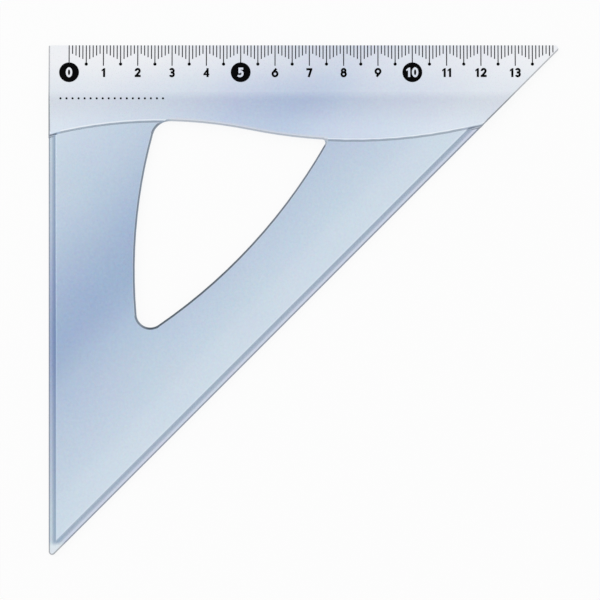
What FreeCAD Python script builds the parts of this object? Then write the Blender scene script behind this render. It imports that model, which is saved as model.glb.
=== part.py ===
"""A clear plastic 45 degree set square with a bevelled millimetre scale along one leg.

Millimetres. The right-angle corner of the underside is the origin: the scale leg runs along
+X, the other leg runs along -Y, and the printed side faces +Z.
"""

import FreeCAD, Part

import math
import os

Vector = FreeCAD.Vector
UP = Vector(0, 0, 1)

# Outline
LEG_LENGTH = 150.0  # each leg, to the sharp tip that its rounding takes off
TIP_RADIUS = 1.0  # both 45 degree tips, seen from above
CORNER_RADIUS = 0.5  # the right-angle corner, seen from above
EDGE_ROUND = 0.5  # the top edge of the plain leg and the hypotenuse; the scale edge is crisp

# Thickness, built up from the thin rim
FLANGE_THICKNESS = 1.2  # the rim that keeps a pen's ink from creeping under
RIM_STEP = 0.7  # from the rim up to the field
WAVE_STEP = 0.4  # from the field up to the band behind the scale
SCALE_EDGE_THICKNESS = 1.0  # the thin edge that the scale is read along

# Bevel under the scale
BEVEL_WIDTH = 14.35  # from the scale edge back to the crease
CREASE_RADIUS = 18.0  # softens the crease

# Wave: the foot of the step from band to field, a crest arc and a trough arc in one line
CREST_FROM_CORNER = 32.45  # along the scale leg
CREST_DEPTH = 22.55  # from the scale edge
CREST_RADIUS = 132.25
TROUGH_FROM_TIP = 61.15  # along the scale leg
TROUGH_RADIUS = 152.1
WAVE_ROUND = 1.6  # rounds the top of the step

# Rim of the field, along the plain leg and the hypotenuse
FLANGE_WIDTH = 1.1
LEG_SLOPE_WIDTH = 1.0
HYPOTENUSE_SLOPE_WIDTH = 1.35
SLOPE_ROUND = 1.5  # softens the top of both slopes

# Window: a bowed left side, a bowed long side and a top side along the wave
WINDOW_FROM_LEG = 25.1  # the nearest that the left side comes to the plain leg
WINDOW_LEFT_DEPTH = 65.85  # how far below the scale edge that is
WINDOW_LEFT_RADIUS = 152.1
WINDOW_FROM_HYPOTENUSE = 23.1  # the nearest that the long side comes to the hypotenuse
WINDOW_BOW_SHIFT = 5.7  # how far past the hypotenuse's middle that is, towards the lower tip
WINDOW_LONG_RADIUS = 160.7
WINDOW_TOP_OFFSET = 0.45  # from the foot of the wave up to the top side
WINDOW_CREST_CORNER_RADIUS = 5.2
WINDOW_LOWER_CORNER_RADIUS = 4.05
WINDOW_TROUGH_CORNER_RADIUS = 0.9
WINDOW_EDGE_ROUND = 0.65

# Printed scale, with every depth measured from the scale edge
INK_THICKNESS = 0.04
INK_FROM_ROUNDING = 0.03  # between ink and the rounded edge of the hypotenuse
ZERO_FROM_CORNER = 6.0
MILLIMETRE = 1.0
MARKS_PER_HALF = 5
MARKS_PER_CENTIMETRE = 10
MARK_WIDTH = 0.3
SHORTEST_MARK_DEPTH = 2.5  # the marks beside each whole centimetre
MARK_DEPTH_STEP = 0.5  # each next mark reaches this much further, up to the half
HALF_DOT_DEPTH = 5.5  # middle of the dot that ends the mark of each half centimetre
HALF_DOT_DIAMETER = 0.95
CENTIMETRE_MARK_DEPTH = 6.0
SHORTEST_PRINTED_MARK = 1.5

# Numerals
NUMERAL_DEPTH = 8.0  # middle of a numeral
NUMERAL_HEIGHT = 2.62
NUMERAL_STROKE = 0.65
FIGURE_GAP = 0.5  # between the two figures of a number
ROUND_OVERSHOOT = 0.08  # a round figure reaches this far past a straight one, up and down

# Discs with a clear numeral
CENTIMETRES_PER_DISC = 5
DISC_DEPTH = 7.9
DISC_DIAMETER = 5.8
DISC_NUMERAL_HEIGHT = 2.75
DISC_NUMERAL_STROKE = 0.6

# Dotted line to write a name on
NAME_DOTS = 18
NAME_DOT_DIAMETER = 0.63
NAME_DOT_PITCH = 1.755
NAME_LINE_START = 3.55  # from the plain leg to the middle of the first dot
NAME_LINE_FROM_CREASE = 0.05  # from where the crease ends to the dots

# Modelling
CLEAR = 5.0  # how far a cutting block runs past what it cuts
PAST_EDGE = 1.0  # how far the sides run past the scale edge before it is cut
TOUCH = 1e-4  # closer than this counts as on a line

FIELD_THICKNESS = FLANGE_THICKNESS + RIM_STEP
BAND_THICKNESS = FIELD_THICKNESS + WAVE_STEP
BEVEL_ANGLE = math.atan2(BAND_THICKNESS - SCALE_EDGE_THICKNESS, BEVEL_WIDTH)
CREASE_REACH = CREASE_RADIUS * math.tan(BEVEL_ANGLE / 2)
NAME_LINE_DEPTH = BEVEL_WIDTH + CREASE_REACH + NAME_LINE_FROM_CREASE + NAME_DOT_DIAMETER / 2
INK_FROM_HYPOTENUSE = EDGE_ROUND + INK_FROM_ROUNDING

# The outline's straight sides, before the corners are rounded
HYPOTENUSE_LENGTH = LEG_LENGTH * math.sqrt(2)
CORNER = Vector(0, 0, 0)
SCALE_TIP = Vector(LEG_LENGTH, 0, 0)
LOWER_TIP = Vector(0, -LEG_LENGTH, 0)
LEG_DIRECTION = Vector(0, -1, 0)
HYPOTENUSE_DIRECTION = Vector(-1, -1, 0) / math.sqrt(2)
INTO_PLATE_FROM_SCALE = Vector(0, -1, 0)
INTO_PLATE_FROM_LEG = Vector(1, 0, 0)
INTO_PLATE_FROM_HYPOTENUSE = Vector(-1, 1, 0) / math.sqrt(2)

# The wave's two circles, which touch where the line turns from one to the other
WAVE_RUN = LEG_LENGTH - CREST_FROM_CORNER - TROUGH_FROM_TIP
WAVE_RADII = CREST_RADIUS + TROUGH_RADIUS
WAVE_DROP = WAVE_RADII - math.sqrt(WAVE_RADII**2 - WAVE_RUN**2)
CREST_CENTRE = Vector(CREST_FROM_CORNER, -CREST_DEPTH - CREST_RADIUS, 0)
TROUGH_CENTRE = CREST_CENTRE + Vector(WAVE_RUN, WAVE_RADII - WAVE_DROP, 0)

# The rounded step: its visible width, and the wall that the field hides beyond its foot
WAVE_STEP_WIDTH = math.sqrt(WAVE_ROUND**2 - (WAVE_ROUND - WAVE_STEP) ** 2)
WAVE_WALL_BEYOND_FOOT = WAVE_ROUND - WAVE_STEP_WIDTH
FIELD_UNDER_BAND = WAVE_STEP_WIDTH / 2


# Plate


def closed_face(points):
    """The flat face inside a closed polygon."""
    return Part.Face(Part.makePolygon(points + points[:1]))


def is_upright(edge):
    return edge.BoundBox.XLength < TOUCH and edge.BoundBox.YLength < TOUCH


def plan_distance(edge, place):
    foot = edge.Vertexes[0].Point
    return math.hypot(foot.x - place.x, foot.y - place.y)


def round_upright(prism, place, radius):
    """A prism with the vertical edge nearest to a place rounded off."""
    uprights = [edge for edge in prism.Edges if is_upright(edge)]
    nearest = min(uprights, key=lambda edge: plan_distance(edge, place))
    return prism.makeFillet(radius, [nearest])


def side_block(origin, inward, section, soft_corner, radius, run):
    """A long block beside one side of the plate, with one corner of its section rounded off.

    The section is drawn in pairs: how far in from the side, and how high.
    """
    points = [origin + inward * depth + UP * height for depth, height in section]
    place = section.index(soft_corner)
    corner = points[place]
    back = (points[place - 1] - corner).normalize()
    onward = (points[place + 1] - corner).normalize()
    half = back.getAngle(onward) / 2
    start = corner + back * (radius / math.tan(half))
    end = corner + onward * (radius / math.tan(half))
    middle = corner + (back + onward).normalize() * (radius / math.sin(half) - radius)
    to_start = points[:place] + [start]
    from_end = [end] + points[place + 1 :] + points[:1]
    lines = [Part.makeLine(a, b) for path in (to_start, from_end) for a, b in zip(path, path[1:])]
    arc = Part.Arc(start, middle, end).toShape()
    return Part.Face(Part.Wire(Part.__sortEdges__(lines + [arc]))).extrude(run)


def foot_line(prism):
    """The closed line that a prism stands on."""
    return min(prism.Faces, key=lambda face: face.CenterOfMass.z).OuterWire


def top_edges_over(shape, path):
    """The edges of a shape, clear of its underside, that lie straight above a flat path."""
    chosen = []
    for edge in shape.Edges:
        middle = edge.valueAt((edge.FirstParameter + edge.LastParameter) / 2)
        foot = Part.Vertex(middle.x, middle.y, 0)
        if edge.BoundBox.ZMin > TOUCH and path.distToShape(foot)[0] < TOUCH:
            chosen.append(edge)
    return chosen


def outline_prism(height):
    """The plate's outline with its three corners rounded, raised from the underside."""
    prism = closed_face([CORNER, SCALE_TIP, LOWER_TIP]).extrude(UP * height)
    prism = round_upright(prism, CORNER, CORNER_RADIUS)
    prism = round_upright(prism, SCALE_TIP, TIP_RADIUS)
    return round_upright(prism, LOWER_TIP, TIP_RADIUS)


def open_ended_prism(height):
    """The outline with its plain leg and its hypotenuse run on past the scale edge."""
    past_corner = Vector(0, PAST_EDGE, 0)
    past_tip = Vector(LEG_LENGTH + PAST_EDGE, PAST_EDGE, 0)
    prism = closed_face([past_corner, past_tip, LOWER_TIP]).extrude(UP * height)
    return round_upright(prism, LOWER_TIP, TIP_RADIUS)


def round_sides(plate):
    """Round the top edge of an open-ended plate along the plain leg and the hypotenuse."""
    sides = [edge for edge in foot_line(plate).Edges if edge.BoundBox.YMin < PAST_EDGE / 2]
    return plate.makeFillet(EDGE_ROUND, top_edges_over(plate, Part.makeCompound(sides)))


def bevelled_block():
    """A long block along the scale leg with the bevel, the soft crease and the band on top."""
    front = -2 * PAST_EDGE
    front_height = SCALE_EDGE_THICKNESS + front * math.tan(BEVEL_ANGLE)
    crease = (BEVEL_WIDTH, BAND_THICKNESS)
    section = [
        (front, 0),
        (front, front_height),
        crease,
        (LEG_LENGTH + CLEAR, BAND_THICKNESS),
        (LEG_LENGTH + CLEAR, 0),
    ]
    origin = Vector(-CLEAR, 0, 0)
    run = Vector(LEG_LENGTH + 2 * CLEAR, 0, 0)
    return side_block(origin, INTO_PLATE_FROM_SCALE, section, crease, CREASE_RADIUS, run)


def wave_point(centre, radius, x, side):
    """The point of a circle at x, above its centre for side 1 and below it for side -1."""
    return Vector(x, centre.y + side * math.sqrt(radius**2 - (x - centre.x) ** 2), 0)


def wave_edges(offset):
    """The wave from left to right, moved towards the scale edge by an offset."""
    crest_radius = CREST_RADIUS + offset
    trough_radius = TROUGH_RADIUS - offset
    turn = CREST_CENTRE + (TROUGH_CENTRE - CREST_CENTRE) * (crest_radius / WAVE_RADII)
    crest = Part.Arc(
        wave_point(CREST_CENTRE, crest_radius, -CLEAR, 1),
        wave_point(CREST_CENTRE, crest_radius, CREST_CENTRE.x, 1),
        turn,
    )
    trough = Part.Arc(
        turn,
        wave_point(TROUGH_CENTRE, trough_radius, TROUGH_CENTRE.x, -1),
        wave_point(TROUGH_CENTRE, trough_radius, LEG_LENGTH + CLEAR, -1),
    )
    return [crest.toShape(), trough.toShape()]


def wave_region(offset, far_y, height):
    """A block between the wave and a straight line at far_y, raised from the underside."""
    wave = wave_edges(offset)
    left = wave[0].valueAt(wave[0].FirstParameter)
    right = wave[1].valueAt(wave[1].LastParameter)
    far_left = Vector(left.x, far_y, 0)
    far_right = Vector(right.x, far_y, 0)
    sides = [
        Part.makeLine(right, far_right),
        Part.makeLine(far_right, far_left),
        Part.makeLine(far_left, left),
    ]
    return Part.Face(Part.Wire(wave + sides)).extrude(UP * height)


def window_prism():
    """The window's opening as a solid that stands on the underside's level."""
    height = BAND_THICKNESS + CLEAR
    left_centre = Vector(WINDOW_FROM_LEG + WINDOW_LEFT_RADIUS, -WINDOW_LEFT_DEPTH, 0)
    nearest = (SCALE_TIP + LOWER_TIP) / 2 + HYPOTENUSE_DIRECTION * WINDOW_BOW_SHIFT
    nearest += INTO_PLATE_FROM_HYPOTENUSE * WINDOW_FROM_HYPOTENUSE
    long_centre = nearest + INTO_PLATE_FROM_HYPOTENUSE * WINDOW_LONG_RADIUS
    prism = wave_region(WINDOW_TOP_OFFSET, -LEG_LENGTH, height)
    prism = prism.common(Part.makeCylinder(WINDOW_LEFT_RADIUS, height, left_centre))
    prism = prism.common(Part.makeCylinder(WINDOW_LONG_RADIUS, height, long_centre))
    prism = round_upright(prism, LOWER_TIP, WINDOW_LOWER_CORNER_RADIUS)
    prism = round_upright(prism, CORNER, WINDOW_CREST_CORNER_RADIUS)
    return round_upright(prism, SCALE_TIP, WINDOW_TROUGH_CORNER_RADIUS)


def pierced_block(height):
    """A square block with the window through it, its edge rounded at the given height."""
    block = Part.makeBox(LEG_LENGTH + 2 * CLEAR, LEG_LENGTH + 2 * CLEAR, height)
    block.translate(Vector(-CLEAR, -LEG_LENGTH - CLEAR, 0))
    window = window_prism()
    block = block.cut(window)
    return block.makeFillet(WINDOW_EDGE_ROUND, top_edges_over(block, foot_line(window)))


def rim_block(start, along, inward, slope_width):
    """The field beside one straight side, with the slope that falls to the rim."""
    slope_top = (FLANGE_WIDTH + slope_width, FIELD_THICKNESS)
    section = [
        (FLANGE_WIDTH, 0),
        (FLANGE_WIDTH, FLANGE_THICKNESS),
        slope_top,
        (LEG_LENGTH + CLEAR, FIELD_THICKNESS),
        (LEG_LENGTH + CLEAR, 0),
    ]
    run = along * (HYPOTENUSE_LENGTH + 2 * CLEAR)
    return side_block(start - along * CLEAR, inward, section, slope_top, SLOPE_ROUND, run)


def band():
    """The part of the plate between the scale edge and the wave."""
    plate = open_ended_prism(BAND_THICKNESS + CLEAR).common(bevelled_block())
    plate = round_sides(plate).common(outline_prism(BAND_THICKNESS))
    region = wave_region(-WAVE_WALL_BEYOND_FOOT, CLEAR, BAND_THICKNESS)
    wave = Part.Wire(wave_edges(-WAVE_WALL_BEYOND_FOOT))
    region = region.makeFillet(WAVE_ROUND, top_edges_over(region, wave))
    return plate.common(region).common(pierced_block(BAND_THICKNESS))


def field():
    """The part of the plate beyond the wave: a thin rim with the thicker field inside it."""
    rim = round_sides(open_ended_prism(FLANGE_THICKNESS))
    pad = rim_block(CORNER, LEG_DIRECTION, INTO_PLATE_FROM_LEG, LEG_SLOPE_WIDTH)
    pad = pad.common(
        rim_block(
            SCALE_TIP, HYPOTENUSE_DIRECTION, INTO_PLATE_FROM_HYPOTENUSE, HYPOTENUSE_SLOPE_WIDTH
        )
    )
    region = wave_region(FIELD_UNDER_BAND, -LEG_LENGTH - CLEAR, BAND_THICKNESS)
    return rim.fuse(pad).common(region).common(pierced_block(FIELD_THICKNESS))


def set_square_body():
    return band().fuse(field()).removeSplitter()


# Strokes and figures, drawn flat with +Y towards the scale edge


def bar(start, end, width):
    """A straight stroke with square ends."""
    along = end - start
    side = Vector(-along.y, along.x, 0).normalize() * (width / 2)
    return closed_face([start + side, end + side, end - side, start - side])


def bow(centre, radius, first, last, width):
    """A stroke along part of a circle, anticlockwise between two angles in degrees."""
    outer = Part.makeCircle(radius + width / 2, centre, UP, first, last)
    inner = Part.makeCircle(radius - width / 2, centre, UP, first, last)
    ends = [
        Part.makeLine(outer.valueAt(end), inner.valueAt(end))
        for end in (outer.FirstParameter, outer.LastParameter)
    ]
    return Part.Face(Part.Wire(Part.__sortEdges__([outer, inner] + ends)))


def dot(centre, diameter):
    return Part.Face(Part.Wire(Part.makeCircle(diameter / 2, centre)))


def on_circle(centre, radius, angle):
    turn = math.radians(angle)
    return centre + radius * Vector(math.cos(turn), math.sin(turn), 0)


def ring(centre, radius, width):
    outer = dot(centre, 2 * radius + width)
    return outer.cut(dot(centre, 2 * radius - width))


def figure_0(width, height, stroke):
    """An upright oval ring."""
    centre = Vector(width / 2, height / 2, 0)
    ovals = []
    for inset in (0, stroke):
        oval = Part.Ellipse(centre, height / 2 - inset, width / 2 - inset).toShape()
        oval.rotate(centre, UP, 90)
        ovals.append(Part.Face(Part.Wire(oval)))
    return [ovals[0].cut(ovals[1])]


def figure_1(width, height, stroke):
    """A stem with a slanted flag at its top left."""
    flag_top = height * 0.8
    corners = [
        (width, 0),
        (width, height),
        (width - stroke * 0.65, height),
        (0, flag_top),
        (stroke * 0.05, flag_top - stroke * 0.75),
        (width - stroke, height * 0.73),
        (width - stroke, 0),
    ]
    return [closed_face([Vector(x, y, 0) for x, y in corners])]


def figure_2(width, height, stroke):
    """An open bow, a diagonal and a foot."""
    radius = (width - stroke) / 2
    centre = Vector(width / 2, height - stroke / 2 - radius, 0)
    bow_end = on_circle(centre, radius, -38)
    level = stroke / 2
    return [
        bow(centre, radius, -45, 185, stroke),
        bar(bow_end, Vector(stroke * 0.6, level, 0), stroke),
        bar(Vector(0, level, 0), Vector(width, level, 0), stroke),
    ]


def figure_3(width, height, stroke):
    """Two open bows that meet in a short bar, the lower one larger."""
    lower_radius = (height - stroke) * 0.26
    upper_radius = (height - stroke) / 2 - lower_radius
    lower_centre = Vector(width - stroke / 2 - lower_radius, stroke / 2 + lower_radius, 0)
    upper_centre = Vector(lower_centre.x, height - stroke / 2 - upper_radius, 0)
    meeting = lower_centre + Vector(0, lower_radius, 0)
    half = Vector(stroke / 2, 0, 0)
    return [
        bow(upper_centre, upper_radius, -90, 160, stroke),
        bow(lower_centre, lower_radius, -160, 90, stroke),
        bar(meeting - half, meeting + half, stroke),
    ]


def figure_4(width, height, stroke):
    """A stem, a crossbar and a diagonal from the stem's top."""
    stem = width * 0.7
    level = height * 0.3
    thin = stroke * 0.72
    return [
        bar(Vector(stem, 0, 0), Vector(stem, height, 0), stroke),
        bar(Vector(0, level, 0), Vector(width, level, 0), thin),
        bar(Vector(stroke * 0.3, level, 0), Vector(stem, height - stroke * 0.6, 0), thin),
    ]


def figure_5(width, height, stroke):
    """A head, a short upright and a bow."""
    radius = height * 0.32 - stroke * 0.25
    centre = Vector(width - stroke / 2 - radius, stroke / 2 + radius, 0)
    upright = width * 0.12 + stroke / 2
    head = height - stroke / 2
    return [
        bow(centre, radius, -140, 115, stroke),
        bar(Vector(upright, height * 0.42, 0), Vector(upright, head, 0), stroke),
        bar(Vector(upright - stroke / 2, head, 0), Vector(width * 0.94, head, 0), stroke),
    ]


def figure_6(width, height, stroke):
    """A ring with a straight stroke that leaves its left side for the top."""
    radius = (width - stroke) / 2
    centre = Vector(width / 2, width / 2, 0)
    touch = on_circle(centre, radius, 150)
    top = Vector(width * 0.7, height - stroke * 0.3, 0)
    return [ring(centre, radius, stroke), bar(touch, top, stroke)]


def figure_7(width, height, stroke):
    """A head and a diagonal."""
    head = height - stroke / 2
    return [
        bar(Vector(0, head, 0), Vector(width, head, 0), stroke),
        bar(Vector(width * 0.38, 0, 0), Vector(width - stroke / 2, head, 0), stroke),
    ]


def figure_8(width, height, stroke):
    """Two rings, the lower one larger."""
    lower_radius = (width - stroke) / 2
    upper_radius = lower_radius * 0.82
    middle = width / 2
    return [
        ring(Vector(middle, height - stroke / 2 - upper_radius, 0), upper_radius, stroke),
        ring(Vector(middle, stroke / 2 + lower_radius, 0), lower_radius, stroke),
    ]


def figure_9(width, height, stroke):
    """The six turned upside down."""
    middle = Vector(width / 2, height / 2, 0)
    strokes = figure_6(width, height, stroke)
    for stroke_face in strokes:
        stroke_face.rotate(middle, UP, 180)
    return strokes


# Each figure with its width as a share of a numeral's height
FIGURES = [
    (figure_0, 0.68),
    (figure_1, 0.41),
    (figure_2, 0.67),
    (figure_3, 0.63),
    (figure_4, 0.67),
    (figure_5, 0.61),
    (figure_6, 0.78),
    (figure_7, 0.67),
    (figure_8, 0.71),
    (figure_9, 0.78),
]
ROUND_ABOVE = "023689"  # the figures with a round top
ROUND_BELOW = "035689"  # the figures with a round foot


# Ink


def column(face):
    """A flat face raised far enough to pass through the plate's top side."""
    return face.extrude(UP * (BAND_THICKNESS + CLEAR))


def join(columns):
    """One solid from overlapping columns, with the seams between them gone."""
    if len(columns) == 1:
        return columns[0]
    return columns[0].fuse(columns[1:]).removeSplitter()


def ink_layer():
    """The thin layer that lies on the bevel, the crease and the band."""
    block = bevelled_block()
    raised = block.translated(UP * INK_THICKNESS)
    return raised.cut(block)


def numeral_columns(number, middle, height, stroke):
    """The figures of a number as columns, centred on the middle."""
    text = str(number)
    widths = [FIGURES[int(character)][1] * height for character in text]
    left = middle.x - (sum(widths) + FIGURE_GAP * (len(text) - 1)) / 2
    columns = []
    for character, width in zip(text, widths):
        above = ROUND_OVERSHOOT if character in ROUND_ABOVE else 0
        below = ROUND_OVERSHOOT if character in ROUND_BELOW else 0
        draw = FIGURES[int(character)][0]
        figure = join([column(face) for face in draw(width, height + above + below, stroke)])
        figure.translate(Vector(left, middle.y - height / 2 - below, 0))
        columns.append(figure)
        left += width + FIGURE_GAP
    return columns


# Printed scale


def mark_x(mark):
    """Where a mark stands along the scale leg."""
    return ZERO_FROM_CORNER + mark * MILLIMETRE


def room_below(x):
    """How deep ink may reach at x before it comes too near to the hypotenuse."""
    return LEG_LENGTH - x - INK_FROM_HYPOTENUSE * math.sqrt(2)


def mark_depth(mark):
    """How far from the scale edge a mark reaches."""
    from_centimetre = mark % MARKS_PER_CENTIMETRE
    if from_centimetre == 0:
        depth = CENTIMETRE_MARK_DEPTH
    elif from_centimetre == MARKS_PER_HALF:
        depth = HALF_DOT_DEPTH
    else:
        nearest = min(from_centimetre, MARKS_PER_CENTIMETRE - from_centimetre)
        depth = SHORTEST_MARK_DEPTH + (nearest - 1) * MARK_DEPTH_STEP
    return min(depth, room_below(mark_x(mark) + MARK_WIDTH / 2))


def printed_marks():
    """Every mark from zero to the last that is long enough to print."""
    marks = []
    while mark_depth(len(marks)) > SHORTEST_PRINTED_MARK:
        marks.append(len(marks))
    return marks


def mark_column(mark):
    x = mark_x(mark)
    return column(bar(Vector(x, 0, 0), Vector(x, -mark_depth(mark), 0), MARK_WIDTH))


def half_dot_column(mark):
    return column(dot(Vector(mark_x(mark), -HALF_DOT_DEPTH, 0), HALF_DOT_DIAMETER))


def has_disc(centimetre):
    return centimetre % CENTIMETRES_PER_DISC == 0


def numbered_centimetres():
    """The centimetres whose numeral or disc keeps clear of the hypotenuse."""
    numbered = []
    centimetre = 0
    while number_fits(centimetre):
        numbered.append(centimetre)
        centimetre += 1
    return numbered


def number_fits(centimetre):
    depth = DISC_DEPTH if has_disc(centimetre) else NUMERAL_DEPTH
    reach = DISC_DIAMETER / 2 if has_disc(centimetre) else NUMERAL_HEIGHT
    x = mark_x(centimetre * MARKS_PER_CENTIMETRE)
    return room_below(x + reach * math.sqrt(2)) > depth


def disc_middle(centimetre):
    return Vector(mark_x(centimetre * MARKS_PER_CENTIMETRE), -DISC_DEPTH, 0)


def disc_blank(centimetre):
    return column(dot(disc_middle(centimetre), DISC_DIAMETER))


def disc(centimetre):
    """A disc with its numeral left clear."""
    middle = disc_middle(centimetre)
    figures = numeral_columns(centimetre, middle, DISC_NUMERAL_HEIGHT, DISC_NUMERAL_STROKE)
    return disc_blank(centimetre).cut(figures)


def plain_numeral(centimetre):
    middle = Vector(mark_x(centimetre * MARKS_PER_CENTIMETRE), -NUMERAL_DEPTH, 0)
    return numeral_columns(centimetre, middle, NUMERAL_HEIGHT, NUMERAL_STROKE)


def name_dot(place):
    middle = Vector(NAME_LINE_START + place * NAME_DOT_PITCH, -NAME_LINE_DEPTH, 0)
    return column(dot(middle, NAME_DOT_DIAMETER))


def printed_columns():
    """The columns of every printed node by name."""
    marks = printed_marks()
    numbered = numbered_centimetres()
    wholes = [mark for mark in marks if mark % MARKS_PER_CENTIMETRE == 0]
    halves = [mark for mark in marks if mark % MARKS_PER_CENTIMETRE == MARKS_PER_HALF]
    between = [mark for mark in marks if mark % MARKS_PER_HALF != 0]
    half_dots = [half_dot_column(mark) for mark in halves]
    blanks = [disc_blank(centimetre) for centimetre in numbered if has_disc(centimetre)]
    nodes = {
        "millimetre_marks": [mark_column(mark) for mark in between],
        "half_centimetre_marks": [
            mark_column(mark).cut(end_dot) for mark, end_dot in zip(halves, half_dots)
        ],
        "half_centimetre_dots": half_dots,
        "centimetre_marks": [mark_column(mark).cut(blanks) for mark in wholes],
        "name_line_dots": [name_dot(place) for place in range(NAME_DOTS)],
    }
    for centimetre in numbered:
        if has_disc(centimetre):
            nodes[f"disc_{centimetre}"] = [disc(centimetre)]
        else:
            nodes[f"numeral_{centimetre}"] = plain_numeral(centimetre)
    return nodes


def printed(columns, layer):
    """The ink that some columns cut out of the layer."""
    return Part.makeCompound([solid for shape in columns for solid in shape.common(layer).Solids])


def main():
    layer = ink_layer()
    nodes = {"set_square_body": set_square_body()}
    for name, columns in printed_columns().items():
        nodes[name] = printed(columns, layer)
    os.makedirs("parts", exist_ok=True)
    for name, shape in nodes.items():
        shape.exportStep(f"parts/{name}.step")
        print(name, len(shape.Solids), "solids", round(shape.Volume, 3), "mm3", shape.isValid())


main()
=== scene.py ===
"""Looks for the clear 45 degree set square: tinted plastic, printed ink, floor, light and camera.

Blender works in metres. The plastic's material is worked out in millimetres, in the part's own
frame: the right-angle corner is the origin, the scale leg runs along +X, the plain leg along -Y.
"""

import math

import bpy
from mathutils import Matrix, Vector

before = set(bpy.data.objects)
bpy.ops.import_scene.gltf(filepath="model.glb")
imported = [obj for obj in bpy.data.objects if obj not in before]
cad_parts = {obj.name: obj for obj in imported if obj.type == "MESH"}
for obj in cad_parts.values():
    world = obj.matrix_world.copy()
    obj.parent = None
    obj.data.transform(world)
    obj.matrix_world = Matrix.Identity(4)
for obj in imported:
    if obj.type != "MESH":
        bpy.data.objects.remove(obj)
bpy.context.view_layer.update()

# Metres in a millimetre
MM = 0.001

# The plate in millimetres, as the part's source has it
LEG_LENGTH = 150.0
BEVEL_WIDTH = 14.35
FIELD_THICKNESS = 1.9
CREST_CENTRE = (32.45, -154.8)
CREST_RADIUS = 132.25
TROUGH_CENTRE = (88.85, 123.9)
TROUGH_RADIUS = 152.1
WAVE_TURN = 58.7

# Where a look sets in across the plate, and where it is full
LEG_ZONE = (5.0, 3.5)
BEVEL_ZONE = (-BEVEL_WIDTH - 1.9, -BEVEL_WIDTH + 1.7)
TIP_ZONE = (-144.5, -146.2)
WINDOW_LEFT = (34.0, 37.0)
WINDOW_RIGHT = (81.6, 81.1)

# The soft steps: how far the middle lies in from the side, or above the wave, and half the width
RIM_STEP = (2.1, 1.4)
WAVE_STEP = (0.6, 0.75)
WAVE_FOOT = (0.17, 0.2)

# Tilts of the surface in degrees, where a look sets in and where it is full
# The painted highlight at the top of each step sets in with the tilt, then fades
HIGHLIGHT_START = (3.0, 7.0)
HIGHLIGHT_END = (16.0, 10.0)
STEP_SLOPE = (12.0, 24.0)
ROUNDED_EDGE = (6.0, 13.0)
STEEP_EDGE = (45.0, 60.0)
UPRIGHT_WALL = (80.0, 88.0)

# A broad soft band of painted shade parallel to the hypotenuse, a painted reflection: how far
# across the plate, and how deep
PAINTED_SHADE = [(15, 0), (35, 0.16), (60, 0.53), (87.5, 1), (104, 0.67), (133, 0.2), (146, 0)]

# The plastic: how strongly its clouds and its grain show, and how far it bends light
CLOUDS = 0.08
GRAIN = 0.3
PLASTIC_IOR = 1.49

# Camera in millimetres: straight above the plate, and the square of its top that it takes in
VIEW_CENTRE = (73.28, -74.24)
VIEW_WIDTH = 174.75
LENS = 200.0
SENSOR = 36.0

# Studio in metres and watts: the floor lies a hair below the plate
FLOOR_SIZE = 8.0
FLOOR_PLACE = (0.07, -0.07, -0.0002)
FLOOR_PAINT = (0.9, 0.9, 0.9, 1.0)
FLOOR_SHOWN = 0.9
SKY_LIGHT = 0.65
LAMP_SIZE = 1.9
LAMP_POWER = 11.0
LAMP_FROM_PLATE = (-0.9, 0.8, 1.1)
LIGHT_BOUNCES = 48
WHITE = (1.0, 1.0, 1.0, 1.0)


def tint(red, green, blue):
    """A display colour, 0 to 255, as the linear colour that Blender's sockets take."""
    shares = [value / 255 for value in (red, green, blue)]
    linear = [s / 12.92 if s <= 0.04045 else ((s + 0.055) / 1.055) ** 2.4 for s in shares]
    return (*linear, 1.0)


class Level:
    """A number that a node works out, which takes part in sums like a plain number."""

    def __init__(self, graph, socket):
        self.graph = graph
        self.socket = socket

    def __add__(self, other):
        return self.graph.math("ADD", self, other)

    def __sub__(self, other):
        return self.graph.math("SUBTRACT", self, other)

    def __rsub__(self, other):
        return self.graph.math("SUBTRACT", other, self)

    def __mul__(self, other):
        return self.graph.math("MULTIPLY", self, other)


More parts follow.
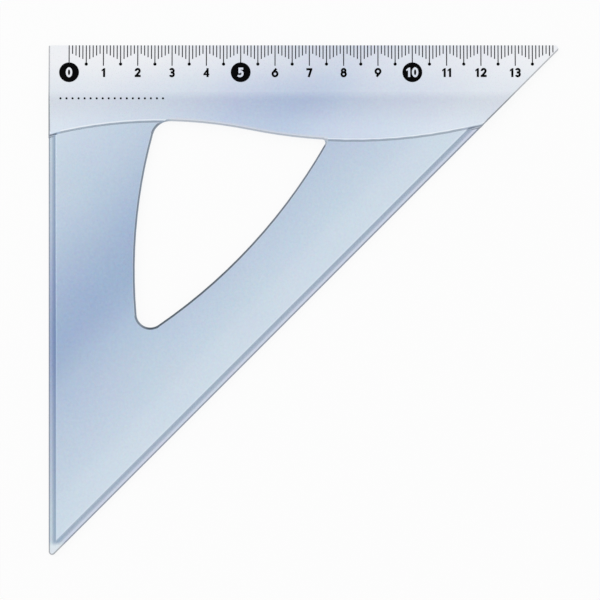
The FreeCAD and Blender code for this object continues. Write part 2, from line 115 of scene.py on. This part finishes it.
class Graph:
    """An emptied node tree, with short calls that add a node and give its output."""

    def __init__(self, tree):
        self.tree = tree
        tree.nodes.clear()

    def node(self, kind, inputs=(), **settings):
        """Adds a node of a kind, with its inputs fed and its settings made."""
        made = self.tree.nodes.new(kind)
        for name, value in settings.items():
            setattr(made, name, value)
        for place, value in dict(inputs).items():
            self.feed(made.inputs[place], value)
        return made

    def feed(self, socket, value):
        """Links a level or an output to an input, or sets the input to a plain value."""
        if isinstance(value, Level):
            value = value.socket
        if isinstance(value, bpy.types.NodeSocket):
            self.tree.links.new(value, socket)
        else:
            socket.default_value = value

    def math(self, operation, *values):
        made = self.node("ShaderNodeMath", dict(enumerate(values)), operation=operation)
        return Level(self, made.outputs[0])

    def smooth(self, value, start, end, first=0.0, last=1.0):
        """Goes from first to last, softly, as a value goes from start to end."""
        inputs = {0: value, 1: start, 2: end, 3: first, 4: last}
        made = self.node("ShaderNodeMapRange", inputs, interpolation_type="SMOOTHSTEP")
        return Level(self, made.outputs[0])

    def curve(self, value, points):
        """A level that follows a smooth curve through pairs of value and level."""
        first, last = points[0][0], points[-1][0]
        share = self.node("ShaderNodeMapRange", {0: value, 1: first, 2: last}).outputs[0]
        ramp = self.node("ShaderNodeValToRGB", {0: share})
        ramp.color_ramp.interpolation = "CARDINAL"
        elements = ramp.color_ramp.elements
        while len(elements) < len(points):
            elements.new(0.5)
        for element, (place, level) in zip(elements, points):
            element.position = (place - first) / (last - first)
            element.color = (level, level, level, 1.0)
        return Level(self, ramp.outputs[0])

    def split(self, vector):
        """A vector's X, Y and Z."""
        parts = self.node("ShaderNodeSeparateXYZ", {0: vector}).outputs
        return [Level(self, part) for part in parts]

    def noise(self, place, scale, detail=2.0):
        """Soft noise, as one level and as a colour."""
        inputs = {"Vector": place, "Scale": scale, "Detail": detail}
        outputs = self.node("ShaderNodeTexNoise", inputs).outputs
        return Level(self, outputs[0]), outputs[1]

    def mix(self, amount, low, high, blend="MIX"):
        """The low colour, and the high one laid over it by an amount."""
        inputs = {0: amount, 6: low, 7: high}
        return self.node("ShaderNodeMix", inputs, data_type="RGBA", blend_type=blend).outputs[2]


def new_material(name):
    """A material and the graph of its nodes."""
    material = bpy.data.materials.new(name)
    material.use_nodes = True
    return material, Graph(material.node_tree)


def show(graph, surface):
    """Makes a node the material's surface."""
    graph.node("ShaderNodeOutputMaterial", {"Surface": surface.outputs[0]})


def in_millimetres(graph):
    """A point's place in the part's frame."""
    place = graph.node("ShaderNodeTexCoord").outputs["Object"]
    inputs = {0: place, "Scale": 1 / MM}
    return graph.node("ShaderNodeVectorMath", inputs, operation="SCALE").outputs[0]


# Clear plastic


class Plate:
    """Where a point lies on the plate, as levels in millimetres, and the surface's tilt there."""

    def __init__(self, graph):
        self.place = in_millimetres(graph)
        self.x, self.y, _ = graph.split(self.place)
        upright = graph.split(graph.node("ShaderNodeTexCoord").outputs["Normal"])[2]
        self.tilt = graph.math("DEGREES", graph.math("ARCCOSINE", graph.math("ABSOLUTE", upright)))
        self.across = self.x - self.y
        self.from_hypotenuse = (LEG_LENGTH - self.across) * math.sqrt(0.5)
        self.from_side = graph.math("MINIMUM", self.x, self.from_hypotenuse)
        self.wave = above_wave(graph, self.x, self.y)
        self.by_leg = graph.smooth(self.x, *LEG_ZONE)
        self.on_bevel = graph.smooth(self.y, *BEVEL_ZONE)
        self.at_tip = graph.smooth(self.y, *TIP_ZONE)

        # Over the window's top side the step is cut away
        over_window = graph.smooth(self.x, *WINDOW_LEFT) * graph.smooth(self.x, *WINDOW_RIGHT)
        self.at_top = over_window * graph.smooth(self.wave, -0.1, 0.3)
        self.on_rim = graph.math("COMPARE", self.from_side, *RIM_STEP)
        inside = graph.smooth(self.from_side, 0.3, 0.55)
        on_wave = graph.math("COMPARE", self.wave, *WAVE_STEP) * (1.0 - self.at_top) * inside
        self.on_step = graph.math("MAXIMUM", self.on_rim, on_wave)


def distance_from(graph, x, y, centre):
    """How far a point lies from a centre."""
    dx = x - centre[0]
    dy = y - centre[1]
    return graph.math("SQRT", dx * dx + dy * dy)


def above_wave(graph, x, y):
    """How far a point lies from the wave, towards the scale edge: a crest, then a trough."""
    crest = distance_from(graph, x, y, CREST_CENTRE) - CREST_RADIUS
    trough = TROUGH_RADIUS - distance_from(graph, x, y, TROUGH_CENTRE)
    return crest + graph.math("GREATER_THAN", x, WAVE_TURN) * (trough - crest)


def field_and_band(graph, plate, painted_shade):
    """The tint on either side of the wave, with a painted highlight at the top of each soft step.
    """
    # Each tint goes from its plain level to its level under the painted shade
    field = graph.mix(painted_shade, tint(203, 217, 230), tint(153, 175, 206))
    at_crease = graph.mix(painted_shade, tint(209, 216, 226), tint(168, 184, 213))
    at_wave = graph.mix(painted_shade, tint(217, 227, 239), tint(185, 201, 225))
    band = graph.mix(graph.smooth(plate.y, -15.0, -25.5), at_crease, at_wave)
    colour = graph.mix(graph.smooth(plate.wave, -0.1, 0.1), field, band)

    # Painted highlight where the surface first tilts, at the top of each soft step: whiter on the
    # wave, bluer on the rim
    painted_highlight = graph.smooth(plate.tilt, *HIGHLIGHT_START) * graph.smooth(plate.tilt, *HIGHLIGHT_END)
    rim_highlight = graph.mix(plate.by_leg, tint(238, 246, 253), tint(206, 227, 253))
    highlight_tint = graph.mix(plate.on_rim, tint(252, 254, 255), rim_highlight)
    return graph.mix(painted_highlight * (1.0 - plate.on_rim * 0.45), colour, highlight_tint)


def with_bevel(graph, plate, painted_shade, colour):
    """The bevel is paler, and palest at the scale edge."""
    foot = graph.mix(painted_shade, tint(223, 229, 237), tint(188, 202, 224))
    edge = graph.mix(painted_shade, tint(237, 239, 243), tint(209, 216, 230))
    bevel = graph.mix(graph.smooth(plate.y, -14.0, -3.0), foot, edge)
    return graph.mix(plate.on_bevel, colour, bevel)


def with_lip_highlight(graph, plate, colour):
    """A painted highlight, a pale line, follows the window's top side."""
    lip_highlight = graph.smooth(plate.wave, 0.95, 1.15) * graph.smooth(plate.wave, 1.75, 1.35)
    return graph.mix(lip_highlight * plate.at_top * 0.3, colour, tint(222, 215, 215))


def with_rim_shade(graph, plate, painted_shade, colour):
    """Painted shade makes the thin rim a little darker, most of all along the plain leg, but not
    at the tip.
    """
    rim = graph.smooth(plate.from_side, 1.9, 1.1) * graph.smooth(plate.wave, 0.3, -0.3)
    leg_shade_tint = graph.mix(painted_shade, tint(241, 243, 242), tint(236, 231, 242))
    rim_shade_tint = graph.mix(plate.by_leg, tint(249, 244, 250), leg_shade_tint)
    colour = graph.mix(rim, colour, rim_shade_tint, "MULTIPLY")
    return graph.mix(plate.at_tip, colour, tint(219, 228, 235))


def uneven(graph, plate, colour):
    """Moulded plastic is never quite even: faint cool and warm clouds and a fine grain."""
    clouds = graph.noise(plate.place, 0.09)[1]
    colour = graph.mix(CLOUDS, colour, clouds, "SOFT_LIGHT")
    grain = graph.noise(plate.place, 1.3)[1]
    return graph.mix(GRAIN, colour, grain, "SOFT_LIGHT")


def with_step_shade(graph, plate, painted_shade, colour):
    """Painted shade darkens the tint down the slope of each step."""
    in_slope = graph.smooth(plate.from_side, 0.9, 1.9, 0.5) * plate.on_step
    slope_shade = graph.smooth(plate.tilt, *STEP_SLOPE) * in_slope * (1.0 - plate.at_tip)
    leg_shade_tint = graph.mix(painted_shade, tint(129, 149, 170), tint(130, 146, 184))
    rim_shade_tint = graph.mix(plate.by_leg, tint(140, 150, 166), leg_shade_tint)
    slope_shade_tint = graph.mix(plate.on_rim, tint(130, 140, 146), rim_shade_tint)
    colour = graph.mix(slope_shade, colour, slope_shade_tint, "MULTIPLY")

    # A dark line of painted shade lies in the wave's foot where it crosses the rim
    near_side = graph.smooth(plate.from_side, 2.8, 2.2)
    foot = graph.math("COMPARE", plate.wave, *WAVE_FOOT) * near_side
    foot_shade_tint = graph.mix(plate.by_leg, tint(122, 129, 137), tint(84, 90, 98))
    return graph.mix(foot, colour, foot_shade_tint, "MULTIPLY")


def window_outline(graph, plate, on_long_side, low):
    """Painted shade round the window: darkest low on its long side, and palest along its top side.
    """
    pale = tint(150, 157, 165)
    long_side = graph.mix(low, tint(50, 60, 72), tint(6, 18, 28))
    long_side = graph.mix(graph.smooth(plate.wave, -1.5, -0.6), long_side, pale)
    outline = graph.mix(on_long_side, tint(75, 83, 93), long_side)
    return graph.mix(plate.at_top, outline, pale)


def side_outline(graph, plate):
    """Painted shade round the field and the band, paler on the bevel and at the lower tip."""
    outline = graph.mix(plate.by_leg, tint(86, 94, 108), tint(100, 108, 122))
    outline = graph.mix(graph.smooth(plate.wave, -1.0, 1.0), outline, tint(84, 89, 94))
    outline = graph.mix(plate.on_bevel, outline, tint(132, 134, 137))
    return graph.mix(plate.at_tip, outline, tint(120, 122, 124))


def with_outline_shade(graph, plate, colour):
    """Painted shade, deepest of all where an edge is rounded over, and blue again on the upright
    walls.
    """
    inland = graph.smooth(plate.from_side, 0.5, 6.0)
    on_long_side = graph.smooth(plate.x - plate.from_hypotenuse, -3.0, 3.0)
    low = graph.smooth(plate.y, -30.0, -75.0)

    # Low on the window's long side the painted shade sets in at a slighter tilt, so it is wider
    wider = on_long_side * low * inland
    start, full = ROUNDED_EDGE
    tilted = graph.smooth(plate.tilt, start - wider * 2.5, full - wider * 4.5)
    off_step = tilted * (1.0 - plate.on_step)
    rounded = graph.math("MAXIMUM", off_step, graph.smooth(plate.tilt, *STEEP_EDGE))

    at_side = side_outline(graph, plate)
    at_window = window_outline(graph, plate, on_long_side, low)
    colour = graph.mix(rounded, colour, graph.mix(inland, at_side, at_window))
    return graph.mix(graph.smooth(plate.tilt, *UPRIGHT_WALL), colour, tint(112, 140, 178))


def clear_plastic():
    """Faint blue see-through plastic, with painted shade where its surface turns away and painted
    highlights at the top of its steps.
    """
    material, graph = new_material("clear_blue_plastic")
    plate = Plate(graph)
    # A broad soft band of painted shade, a painted reflection, darkens every tint across the plate
    painted_shade = graph.curve(plate.across, PAINTED_SHADE)
    colour = field_and_band(graph, plate, painted_shade)
    colour = with_bevel(graph, plate, painted_shade, colour)
    colour = with_lip_highlight(graph, plate, colour)
    colour = with_rim_shade(graph, plate, painted_shade, colour)
    colour = uneven(graph, plate, colour)
    colour = with_step_shade(graph, plate, painted_shade, colour)
    colour = with_outline_shade(graph, plate, colour)
    handled = graph.noise(plate.place, 0.35, 6.0)[0]
    surface = {
        "Base Color": colour,
        "Roughness": graph.smooth(handled, 0.35, 0.75, 0.015, 0.06),
        "IOR": PLASTIC_IOR,
        "Transmission Weight": 1.0,
    }
    show(graph, graph.node("ShaderNodeBsdfPrincipled", surface))
    return material


# Ink


def black_ink():
    """Screen-printed ink: nearly black, a little uneven, with a faint sheen."""
    material, graph = new_material("black_ink")
    place = in_millimetres(graph)
    blotches = graph.noise(place, 1.4, 4.0)[0]
    grain = graph.noise(place, 9.0, 3.0)[0]
    bump = graph.node("ShaderNodeBump", {"Strength": 0.15, "Distance": 0.00001, "Height": grain})
    surface = {
        "Base Color": graph.mix(blotches, tint(1, 1, 1), tint(8, 8, 10)),
        "Roughness": graph.smooth(grain, 0.3, 0.7, 0.45, 0.62),
        "Specular IOR Level": 0.02,
        "Normal": bump.outputs[0],
    }
    show(graph, graph.node("ShaderNodeBsdfPrincipled", surface))
    return material


def dress(node, material):
    """Gives a node of the frame one material."""
    slots = node.data.materials
    slots.clear()
    slots.append(material)


# Floor, light and camera


def background_shown(graph, to_camera):
    """1 for rays that see the background in gloss or through glass, a share for the camera's."""
    path = graph.node("ShaderNodeLightPath").outputs
    through = graph.math("MAXIMUM", path["Is Transmission Ray"], path["Is Glossy Ray"])
    seen = graph.math("MULTIPLY", path["Is Camera Ray"], to_camera)
    return graph.math("MAXIMUM", seen, through)


def white_floor():
    """A matte floor that shows white, a little less so to the camera, for the shadow's sake."""
    material, graph = new_material("pale_floor")
    matte = graph.node("ShaderNodeBsdfDiffuse", {"Color": FLOOR_PAINT})
    white = graph.node("ShaderNodeEmission", {"Color": WHITE, "Strength": 1.0})
    shown = background_shown(graph, FLOOR_SHOWN)
    inputs = {0: shown, 1: matte.outputs[0], 2: white.outputs[0]}
    show(graph, graph.node("ShaderNodeMixShader", inputs))
    return material


def add_floor():
    """A wide level floor under the plate, which isn't part of the object."""
    bpy.ops.mesh.primitive_plane_add(size=FLOOR_SIZE, location=FLOOR_PLACE)
    floor = bpy.context.object
    floor.name = "floor"
    floor.data.materials.append(white_floor())


def add_sky():
    """An even white sky that lights at a plain level and shows full white as background."""
    world = bpy.data.worlds.new("studio")
    world.use_nodes = True
    graph = Graph(world.node_tree)
    strength = graph.math("MAXIMUM", background_shown(graph, 1.0), SKY_LIGHT)
    sky = graph.node("ShaderNodeBackground", {"Color": WHITE, "Strength": strength})
    graph.node("ShaderNodeOutputWorld", {"Surface": sky.outputs[0]})
    bpy.context.scene.world = world


def add_soft_box():
    """A large soft lamp up and to the left of the plate."""
    lamp = bpy.data.lights.new("soft_box", "AREA")
    lamp.shape = "DISK"
    lamp.size = LAMP_SIZE
    lamp.energy = LAMP_POWER
    soft_box = bpy.data.objects.new("soft_box", lamp)
    bpy.context.scene.collection.objects.link(soft_box)
    aim = Vector((*VIEW_CENTRE, 0)) * MM
    soft_box.location = aim + Vector(LAMP_FROM_PLATE)
    soft_box.rotation_euler = (aim - soft_box.location).to_track_quat("-Z", "Y").to_euler()


def add_camera():
    """A long lens straight above the plate, which looks down."""
    camera = bpy.data.cameras.new("camera")
    camera.lens = LENS
    camera.sensor_width = SENSOR
    camera.clip_start = 0.01
    holder = bpy.data.objects.new("camera", camera)
    bpy.context.scene.collection.objects.link(holder)
    height = VIEW_WIDTH / SENSOR * LENS + FIELD_THICKNESS
    holder.location = Vector((*VIEW_CENTRE, height)) * MM
    bpy.context.scene.camera = holder


def follow_light():
    """Light runs a long way inside clear plastic, from one smooth face to the next."""
    cycles = bpy.context.scene.cycles
    cycles.max_bounces = LIGHT_BOUNCES
    cycles.glossy_bounces = LIGHT_BOUNCES
    cycles.transmission_bounces = LIGHT_BOUNCES


plastic = clear_plastic()
ink = black_ink()
for name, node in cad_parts.items():
    dress(node, plastic if name == "set_square_body" else ink)

add_floor()
add_sky()
add_soft_box()
add_camera()
follow_light()
bpy.context.scene.view_settings.view_transform = "Standard"
